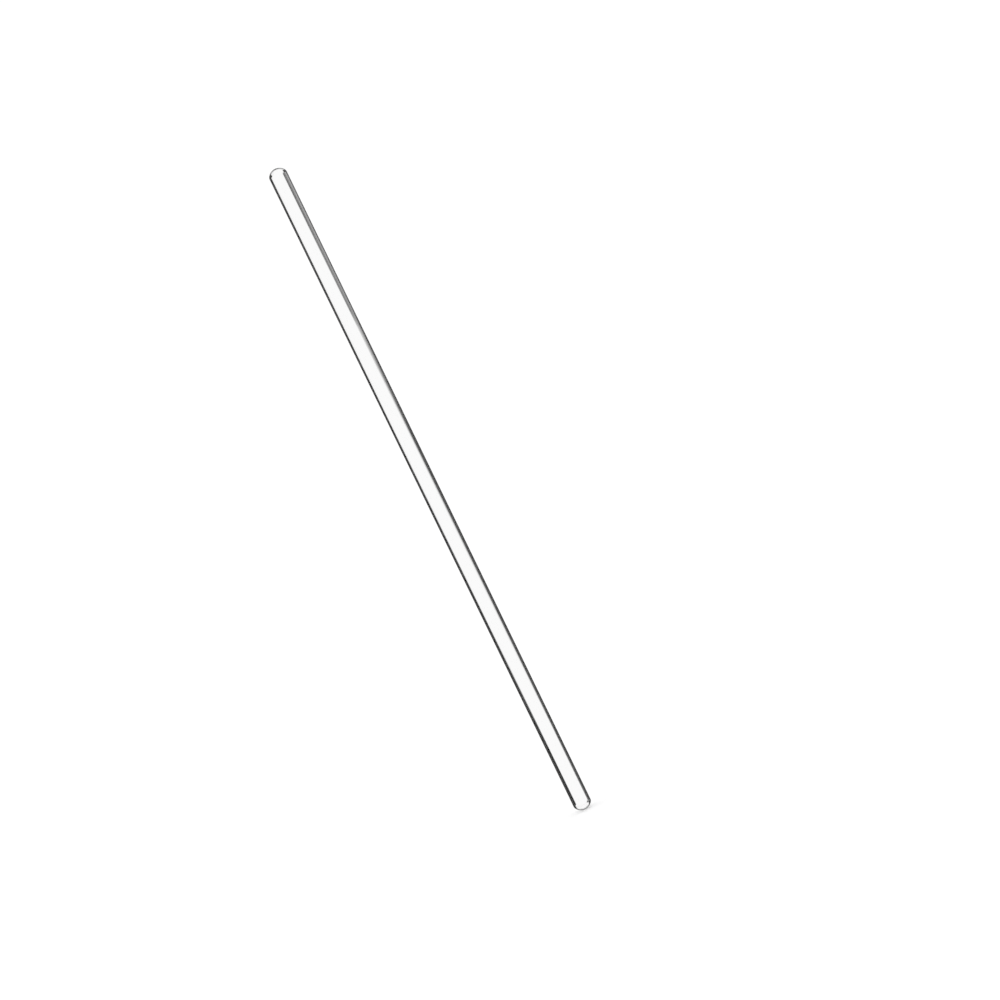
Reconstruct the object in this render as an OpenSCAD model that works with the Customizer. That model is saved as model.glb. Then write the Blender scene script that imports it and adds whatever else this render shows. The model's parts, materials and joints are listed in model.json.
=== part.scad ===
// Glass stirring rod: one solid length of round glass with both ends melted round in a flame.
// It stands along +Z on its stirring end, with the origin at the lowest point of that end
// and the hand end at the top.

/* [Rod] */
// Diameter of the glass
rod_d = 4; // [4:0.5:10]
// Length over both rounded ends
rod_l = 150; // [100:10:300]

/* [Rounded ends] */
// Height of a rounded end, from where the straight side stops to its crown
end_h = 1.6; // [1.4:0.1:2]
// Radius of the shoulder, where the side turns into the end
shoulder_r = 1.2; // [0.4:0.1:1.2]

/* [Hidden] */
$fn = 96;
rod_r = rod_d / 2;
// Centre of the shoulder's arc, out from the axis
shoulder_x = rod_r - shoulder_r;
// Radius of the crown, the shallow dome that runs into the shoulder without an edge
crown_r = (end_h^2 - shoulder_r^2 + shoulder_x^2) / (2 * (end_h - shoulder_r));
// Half angle of the crown, at its own centre, where the shoulder takes over
crown_a = atan2(shoulder_x, crown_r - end_h);

// Half section of the crown: the disc's slice from straight down round to the shoulder
module crown() {
    translate([0, crown_r])
        intersection() {
            circle(r = crown_r);
            polygon([[0, 0], [0, -2 * crown_r], 2 * crown_r * [sin(crown_a), -cos(crown_a)]]);
        }
}

// Half section of the shoulder: the lower half of its disc, cut off at the rod's axis. It runs
// on inside the crown's slice, so that the two are one piece of glass at any size.
module shoulder() {
    intersection() {
        translate([shoulder_x, end_h]) circle(r = shoulder_r);
        square([rod_r, end_h]);
    }
}

// Half section of the stirring end and of the straight side, up past the middle of the rod
module end_and_side() {
    crown();
    shoulder();
    translate([0, end_h]) square([rod_r, rod_l / 2]);
}

module stirring_rod() {
    color([0.86, 0.93, 0.93, 0.5])
        rotate_extrude() {
            end_and_side();
            translate([0, rod_l]) mirror([0, 1]) end_and_side();
        }
}

stirring_rod();
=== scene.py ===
import json
import math

import bmesh
import bpy
import numpy as np
from mathutils import Matrix, Vector, noise


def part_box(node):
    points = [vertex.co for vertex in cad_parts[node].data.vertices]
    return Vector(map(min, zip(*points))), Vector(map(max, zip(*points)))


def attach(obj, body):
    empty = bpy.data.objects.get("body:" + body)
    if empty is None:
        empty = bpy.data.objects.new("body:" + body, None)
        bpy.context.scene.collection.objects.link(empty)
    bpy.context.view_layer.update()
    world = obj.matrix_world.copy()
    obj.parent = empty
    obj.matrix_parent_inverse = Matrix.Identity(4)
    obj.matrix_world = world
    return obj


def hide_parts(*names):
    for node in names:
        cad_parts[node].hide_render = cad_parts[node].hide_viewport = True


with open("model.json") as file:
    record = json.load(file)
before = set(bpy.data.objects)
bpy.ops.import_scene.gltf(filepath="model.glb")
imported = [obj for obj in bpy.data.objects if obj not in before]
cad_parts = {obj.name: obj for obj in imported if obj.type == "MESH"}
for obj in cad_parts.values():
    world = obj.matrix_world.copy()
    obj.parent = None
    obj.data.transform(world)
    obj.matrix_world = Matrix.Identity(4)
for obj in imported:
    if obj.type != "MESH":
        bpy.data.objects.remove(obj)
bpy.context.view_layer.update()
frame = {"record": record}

# The rod. One length of clear borosilicate cane, drawn from the melt and snapped to length. Each
# end is then turned in a flame until the glass pulls itself round: a shallow crown that runs
# into a tight shoulder. It is a single piece of glass, so it is turned here as one lathe form.
low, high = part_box("stirring_rod")
shank = next(mount for mount in frame["record"]["mounts"] if mount["name"] == "shank")
radius = shank["dims"]["r_mm"] / 1000
straight = shank["dims"]["length_mm"] / 1000
axis = Vector(((low.x + high.x) / 2, (low.y + high.y) / 2, 0.0))
end_height = (high.z - low.z - straight) / 2
shoulder_radius = 0.0012
shoulder_out = radius - shoulder_radius
crown_radius = (end_height**2 - shoulder_radius**2 + shoulder_out**2) / (2 * (end_height - shoulder_radius))
crown_angle = math.atan2(shoulder_out, crown_radius - end_height)
turns = 160
side_steps = 150
crown_steps = 22
shoulder_steps = 26
# Drawing leaves the side a few thousandths of a millimetre out of true, and the flame leaves
# each crown a few hundredths up or down.
draw_swell = 5e-6
draw_swell_size = 0.025
draw_oval = 3e-6
draw_twist = 30.0
melt_depth = 4e-5
melt_size = 0.0013
stirring_end_melt = 3.1
hand_end_melt = 11.7


def end_section():
    """Half of an end's section from the crown outwards: distance from the axis, height over the tip."""
    points = []
    for step in range(1, crown_steps + 1):
        angle = crown_angle * step / crown_steps
        points.append((crown_radius * math.sin(angle), crown_radius * (1 - math.cos(angle))))
    for step in range(1, shoulder_steps + 1):
        angle = crown_angle + (math.pi / 2 - crown_angle) * step / shoulder_steps
        out = shoulder_out + shoulder_radius * math.sin(angle)
        points.append((out, end_height - shoulder_radius * math.cos(angle)))
    return points


def drawn(angle, z):
    """How far the drawn side stands out from a true cylinder at this angle and height."""
    swell = noise.noise(Vector((0.0, 0.0, z / draw_swell_size)))
    return draw_swell * swell + draw_oval * math.cos(2 * angle + draw_twist * z)


def melted(point):
    """How far the flame moved an end up or down at this point."""
    melt = hand_end_melt if point.z > (low.z + high.z) / 2 else stirring_end_melt
    return melt_depth * noise.noise(point / melt_size + Vector((melt, 0.0, 0.0)))


def rod_point(out, angle, z):
    """A point of the finished surface, out from the axis at this angle and height."""
    side = min(1.0, (z - low.z) / end_height, (high.z - z) / end_height)
    reach = out + side * drawn(angle, z)
    point = axis + Vector((reach * math.cos(angle), reach * math.sin(angle), z))
    point.z += math.sqrt(1 - side) * melted(point)
    return point


section = end_section()
rings = [(out, low.z + height) for out, height in section]
for step in range(1, side_steps):
    rings.append((radius, low.z + end_height + straight * step / side_steps))
rings += [(out, high.z - height) for out, height in reversed(section)]

glass_form = bmesh.new()
rows = []
for out, z in rings:
    row = [glass_form.verts.new(rod_point(out, 2 * math.pi * turn / turns, z)) for turn in range(turns)]
    rows.append(row)
for below, above in zip(rows, rows[1:]):
    for turn in range(turns):
        after = (turn + 1) % turns
        glass_form.faces.new((below[turn], below[after], above[after], above[turn]))
for row, z in ((rows[0], low.z), (rows[-1], high.z)):
    tip = glass_form.verts.new(rod_point(0.0, 0.0, z))
    for turn in range(turns):
        glass_form.faces.new((tip, row[turn], row[(turn + 1) % turns]))
bmesh.ops.recalc_face_normals(glass_form, faces=glass_form.faces)
for face in glass_form.faces:
    face.smooth = True
rod_mesh = bpy.data.meshes.new("glass_rod")
glass_form.to_mesh(rod_mesh)
glass_form.free()
rod = bpy.data.objects.new("glass_rod", rod_mesh)
bpy.context.collection.objects.link(rod)
# Clear glass passes the light of a white room on, so no hard shadow of it is drawn.
rod.visible_shadow = False


class Value:
    """A value in a material's shader, wrapped so that maths on it reads as an expression."""

    def __init__(self, tree, socket=None):
        self.tree = tree
        self.socket = socket

    def feed(self, socket, value):
        """Link a value to a socket, or set the socket to a plain number or colour."""
        if isinstance(value, Value):
            self.tree.links.new(value.socket, socket)
        else:
            socket.default_value = value

    def node(self, kind, settings, values, output=0):
        """Add a node with these settings and socket values, and give one of its outputs."""
        made = self.tree.nodes.new(kind)
        for name, setting in settings.items():
            setattr(made, name, setting)
        for name, value in values.items():
            self.feed(made.inputs[name], value)
        return Value(self.tree, made.outputs[output])

    def __mul__(self, other):
        return self.node("ShaderNodeMath", {"operation": "MULTIPLY"}, {0: self, 1: other})

    __rmul__ = __mul__


# The glass is colourless and bright. Its colour is darkened where the eye looks along the side of the rod,
# a painted shade that draws its dark outlines. Handling leaves a faint bloom on it, and drawing leaves
# hair-fine lines.
clear = (0.918, 0.918, 0.917, 1.0)
# The dark grey of the painted rim shade, and where it starts and where it is full.
painted_rim_shade = (0.02, 0.02, 0.02, 1.0)
rim_shade_from = 0.35
rim_shade_to = 0.70
glass_index = 1.473
bloom_roughness = 0.02
bloom_scale = 180.0
bloom_detail = 4.0
line_scale = 2600.0
line_detail = 2.0
line_stretch = (1.0, 1.0, 0.02)
line_depth = 2e-6
line_strength = 0.15

glass = bpy.data.materials.new("clear_glass")
glass.use_nodes = True
glass_shader = glass.node_tree.nodes["Principled BSDF"].inputs
glass_shader["Transmission Weight"].default_value = 1.0
glass_shader["IOR"].default_value = glass_index
kit = Value(glass.node_tree)
place = kit.node("ShaderNodeTexCoord", {}, {}, "Object")
facing = kit.node("ShaderNodeLayerWeight", {}, {"Blend": 0.5}, "Facing")
# Painted shade: how far the glass colour goes dark towards the rims as the surface turns from the eye.
rim_shade_mask = kit.node(
    "ShaderNodeMapRange",
    {"interpolation_type": "SMOOTHSTEP"},
    {"Value": facing, "From Min": rim_shade_from, "From Max": rim_shade_to},
)
colour = kit.node("ShaderNodeMix", {"data_type": "RGBA"}, {0: rim_shade_mask, 6: clear, 7: painted_rim_shade}, 2)
bloom = kit.node("ShaderNodeTexNoise", {}, {"Vector": place, "Scale": bloom_scale, "Detail": bloom_detail})
stretched = kit.node("ShaderNodeVectorMath", {"operation": "MULTIPLY"}, {0: place, 1: line_stretch})
line_values = {"Vector": stretched, "Scale": line_scale, "Detail": line_detail}
lines = kit.node("ShaderNodeTexNoise", {}, line_values)
bump = kit.node("ShaderNodeBump", {}, {"Strength": line_strength, "Distance": line_depth, "Height": lines})
kit.feed(glass_shader["Base Color"], colour)
kit.feed(glass_shader["Roughness"], bloom * bloom_roughness)
kit.feed(glass_shader["Normal"], bump)
rod_mesh.materials.append(glass)
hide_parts("stirring_rod")
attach(rod, "root")

# The floor. A plain sheet of matt white board, big enough to run out of sight. It also glows a little
# of its own, painted light in place of a lamp below, so that the rod shades it only where it stands.
# The glass looks past it into the white room, so the foot of the rod is drawn as clearly as the rest.
floor_half = 3.0
board_white = (0.60, 0.60, 0.60, 1.0)
board_roughness = 0.9
board_glow_white = (1.0, 1.0, 1.0, 1.0)
board_glow = 0.45
corners = [(-1, -1), (1, -1), (1, 1), (-1, 1)]
floor_mesh = bpy.data.meshes.new("floor")
floor_mesh.from_pydata([(x * floor_half, y * floor_half, low.z) for x, y in corners], [], [(0, 1, 2, 3)])
floor = bpy.data.objects.new("floor", floor_mesh)
bpy.context.collection.objects.link(floor)
floor.visible_transmission = False
floor.visible_glossy = False
board = bpy.data.materials.new("white_board")
board.use_nodes = True
board_shader = board.node_tree.nodes["Principled BSDF"].inputs
board_shader["Base Color"].default_value = board_white
board_shader["Roughness"].default_value = board_roughness
board_shader["Specular IOR Level"].default_value = 0.0
# Painted light: the board's own glow, which washes out most of the rod's shade on it.
board_shader["Emission Color"].default_value = board_glow_white
board_shader["Emission Strength"].default_value = board_glow
floor_mesh.materials.append(board)

# The light. A white studio tent, equally bright all round, so the board burns out to pure white.
studio_white = 1.04
world = bpy.data.worlds.new("studio")
world.use_nodes = True
tent = world.node_tree.nodes["Background"].inputs
tent["Color"].default_value = (1.0, 1.0, 1.0, 1.0)
tent["Strength"].default_value = studio_white
bpy.context.scene.world = world
bpy.context.scene.view_settings.view_transform = "Standard"

# The camera. A long lens a little above the rod, rolled so that the rod leans to the left as it
# does in a flask, with its hand end at the top.
look_azimuth = math.radians(232.5)
look_down = math.radians(7.2)
lean = math.radians(25.74)
seen_width = 0.2094
aside = 0.0143
above = 0.0016
camera_data = bpy.data.cameras.new("camera")
camera_data.lens = 150.0
camera_data.sensor_width = 36.0
camera_data.clip_end = 20.0
camera = bpy.data.objects.new("camera", camera_data)
bpy.context.collection.objects.link(camera)
bpy.context.scene.camera = camera
look = Vector((-math.sin(look_azimuth), math.cos(look_azimuth), 0.0))
forward = look * math.cos(look_down) - Vector((0.0, 0.0, math.sin(look_down)))
level_right = look.cross(Vector((0.0, 0.0, 1.0)))
level_up = level_right.cross(forward)
right = level_right * math.cos(lean) - level_up * math.sin(lean)
up = level_up * math.cos(lean) + level_right * math.sin(lean)
middle = axis + Vector((0.0, 0.0, (low.z + high.z) / 2))
distance = seen_width * camera_data.lens / camera_data.sensor_width
camera.location = middle + right * aside - up * above - forward * distance
camera.rotation_mode = "QUATERNION"
camera.rotation_quaternion = Matrix((right, up, -forward)).transposed().to_quaternion()

# The flags. Clear glass in a white tent shows only by what it bends round from the side, so dark
# and grey cards stand well away to its left and right. A sheet far below it darkens its crown.
# Only the glass sees them.
flag_distance = 2.0
flag_starts = 15
flag_ends = 104
straight_ahead = math.atan2(look.y, look.x)


def card_point(degrees, out, height):
    """So many degrees to the left of straight ahead, this far out and this far over the rod's foot."""
    turn = straight_ahead + math.radians(degrees)
    return axis + Vector((out * math.cos(turn), out * math.sin(turn), low.z + height))


def flag(name, columns):
    """A card made of columns of points. Each point comes with the tone that it glows with."""
    rows = len(columns[0])
    corners = [corner for column in columns for corner in column]
    faces = []
    for column in range(len(columns) - 1):
        for row in range(rows - 1):
            first = column * rows + row
            faces.append((first, first + 1, first + rows + 1, first + rows))
    card_mesh = bpy.data.meshes.new(name)
    card_mesh.from_pydata([point for point, tone in corners], [], faces)
    tone_layer = card_mesh.color_attributes.new("tone", "FLOAT_COLOR", "POINT")
    for painted, (point, tone) in zip(tone_layer.data, corners):
        painted.color = (tone, tone, tone, 1.0)
    paint = bpy.data.materials.new(name)
    paint.use_nodes = True
    paint_shader = paint.node_tree.nodes["Principled BSDF"].inputs
    paint_shader["Base Color"].default_value = (0.0, 0.0, 0.0, 1.0)
    paint_shader["Specular IOR Level"].default_value = 0.0
    paint_shader["Emission Strength"].default_value = 1.0
    paint_kit = Value(paint.node_tree)
    glow = paint_kit.node("ShaderNodeAttribute", {"attribute_name": "tone"}, {}, "Color")
    paint_kit.feed(paint_shader["Emission Color"], glow)
    card_mesh.materials.append(paint)
    card = bpy.data.objects.new(name, card_mesh)
    bpy.context.collection.objects.link(card)
    card.visible_camera = False
    card.visible_diffuse = False
    card.visible_shadow = False


def standing_flag(name, side, levels):
    """A curved card to the left (1) or right (-1) of straight ahead.

    Each level is a height over the rod's foot and the tones there, as pairs of degrees from
    straight ahead and a tone. Between them the tones run evenly.
    """
    columns = []
    for degrees in range(flag_starts, flag_ends + 1):
        column = []
        for height, stops in levels:
            tone = np.interp(degrees, *zip(*stops))
            column.append((card_point(side * degrees, flag_distance, height), tone))
        columns.append(column)
    flag(name, columns)


def lying_flag(name, height, half, rings):
    """A level sheet that reaches so many degrees to each side of straight ahead.

    Each ring is a distance out from the rod and the tone there.
    """
    columns = []
    for degrees in range(-half, half + 1):
        columns.append([(card_point(degrees, out, height), tone) for out, tone in rings])
    flag(name, columns)


blank = [(flag_starts, studio_white)]
dark_edge = [(35, studio_white), (37, 0.0)]
low_dark_edge = [(31, studio_white), (33, 0.0)]
foot_dark_edge = [(26, studio_white), (28, 0.0)]
standing_flag("dark_flag", -1, [
    (-1.60, blank),
    (-1.50, dark_edge),
    (-0.80, dark_edge),
    (-0.70, foot_dark_edge),
    (-0.36, foot_dark_edge),
    (-0.26, low_dark_edge),
    (-0.10, dark_edge),
    (1.50, dark_edge),
])
foot_greys = [(29, studio_white), (32, 0.50), (36, 0.05)]
low_greys = [(22, studio_white), (26, 0.80), (34, 0.05)]
mid_greys = [(21, studio_white), (24, 0.70), (34, 0.45), (52, 0.0)]
high_greys = [(21, studio_white), (25, 0.20), (42, 0.35), (66, 0.0)]
top_greys = [(19.5, studio_white), (23, 0.05), (42, 0.45), (66, 0.0)]
standing_flag("grey_flag", 1, [
    (-0.80, blank),
    (-0.72, foot_greys),
    (-0.34, foot_greys),
    (-0.12, low_greys),
    (-0.035, mid_greys),
    (-0.022, high_greys),
    (0.058, top_greys),
    (0.16, top_greys),
    (0.30, foot_greys),
    (4.0, foot_greys),
])
crown_flag_height = -0.60
crown_flag_half = 75
crown_flag_rings = [(0.20, 0.03), (0.75, 0.03), (0.90, studio_white)]
lying_flag("crown_flag", crown_flag_height, crown_flag_half, crown_flag_rings)
